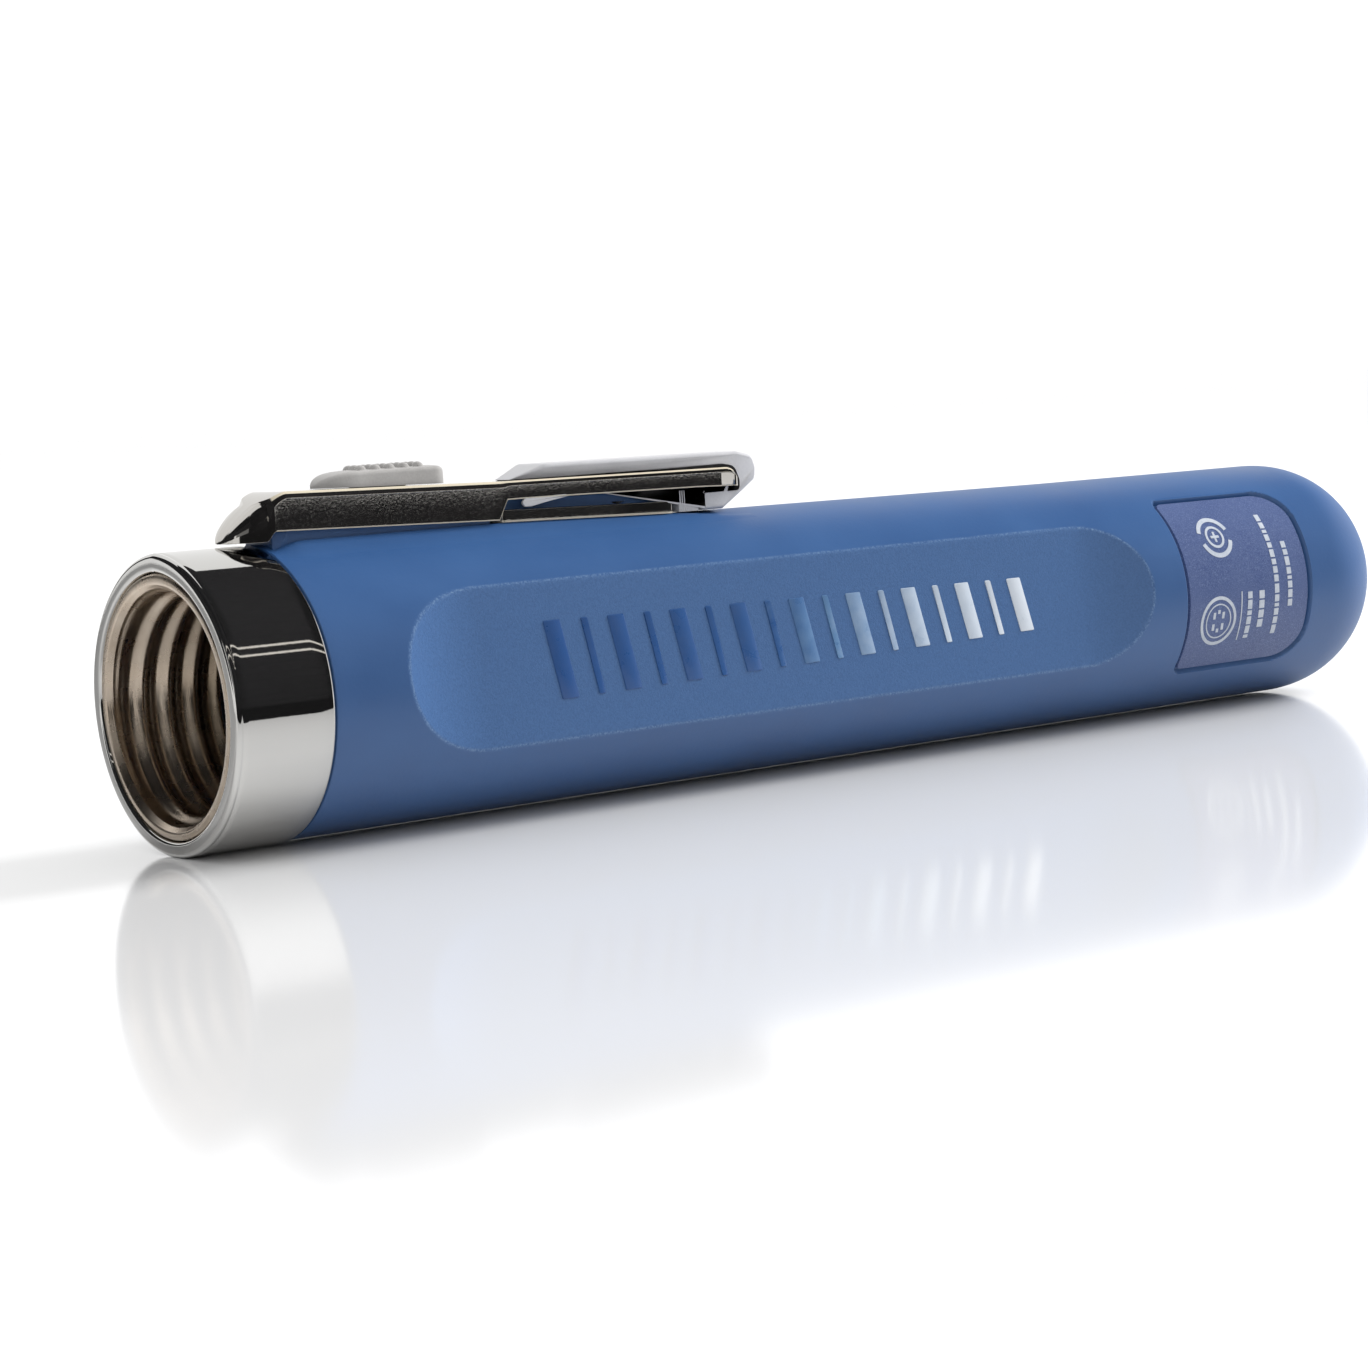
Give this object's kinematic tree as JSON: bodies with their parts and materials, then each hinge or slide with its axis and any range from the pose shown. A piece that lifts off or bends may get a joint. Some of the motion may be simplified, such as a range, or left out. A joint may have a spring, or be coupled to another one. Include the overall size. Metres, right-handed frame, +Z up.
{
  "type": "otoscope handle",
  "caption": "Battery handle of a pocket otoscope: tube with rounded end, threaded mouth with collar, sprung pocket clip, thumb slide switch and battery cells.",
  "frame": {"origin": "centre of the overall box in X and Y, at the lowest point of the collar, which rests on z = 0", "axes": "X along the handle, threaded mouth at -X and rounded end at +X; +Z up through the clip and switch; -Y the side with the label"},
  "size_m": [0.1212, 0.0208, 0.0263],
  "materials": {
    "blue_plastic": "fine textured moulded plastic, blue",
    "chrome": "bright chrome plating",
    "nickel": "warm nickel plating over turned brass",
    "contact_brass": "stamped brass strip",
    "spring_steel": "bright spring steel",
    "grey_plastic": "satin light grey plastic",
    "black_plastic": "black moulded plastic",
    "seal_rubber": "black rubber",
    "cell_jacket": "printed shrink jacket, dark",
    "label_film": "printed polymer label, violet blue"
  },
  "bodies": {
    "handle": {"handle_sleeve": "blue_plastic", "collar": "chrome", "threaded_insert": "nickel", "insert_o_ring": "seal_rubber", "rating_label": "label_film", "contact_strip": "contact_brass", "ground_contact": "contact_brass", "spring_plate": "contact_brass", "battery_spring": "spring_steel", "clip_housing": "chrome", "clip_rail": "chrome", "clip_base": "spring_steel", "rail_screw_front": "spring_steel", "rail_screw_rear": "spring_steel", "base_screw": "spring_steel", "detent_leaf": "spring_steel"},
    "switch": {"switch_button": "grey_plastic", "switch_carrier": "black_plastic", "switch_wiper": "contact_brass"},
    "clip": {"clip_arm": "chrome", "clip_pad": "grey_plastic"},
    "contact_plunger": {"spring_cap": "contact_brass"},
    "rear_cell": {"rear_cell_can": "nickel", "rear_cell_cap": "nickel", "rear_cell_seal": "black_plastic", "rear_cell_wrap": "cell_jacket"},
    "front_cell": {"front_cell_can": "nickel", "front_cell_cap": "nickel", "front_cell_seal": "black_plastic", "front_cell_wrap": "cell_jacket"}
  },
  "joints": [
    {"name": "switch_slide", "type": "slide", "parent": "handle", "child": "switch", "axis": [-1, 0, 0], "range_m": [0, 0.003]},
    {"name": "clip_flex", "type": "hinge", "parent": "handle", "child": "clip", "pos_m": [-0.0323, 0, 0.02375], "axis": [0, -1, 0], "range_deg": [0, 6], "stiffness_Nm_per_rad": 1.5},
    {"name": "plunger_slide", "type": "slide", "parent": "handle", "child": "contact_plunger", "axis": [1, 0, 0], "range_m": [0, 0.002], "stiffness_N_per_m": 500, "deforming": ["battery_spring"]},
    {"name": "rear_cell_slide", "type": "slide", "parent": "contact_plunger", "child": "rear_cell", "axis": [-1, 0, 0], "range_m": [0, 0.115]},
    {"name": "front_cell_slide", "type": "slide", "parent": "rear_cell", "child": "front_cell", "axis": [-1, 0, 0], "range_m": [0, 0.065]}
  ]
}
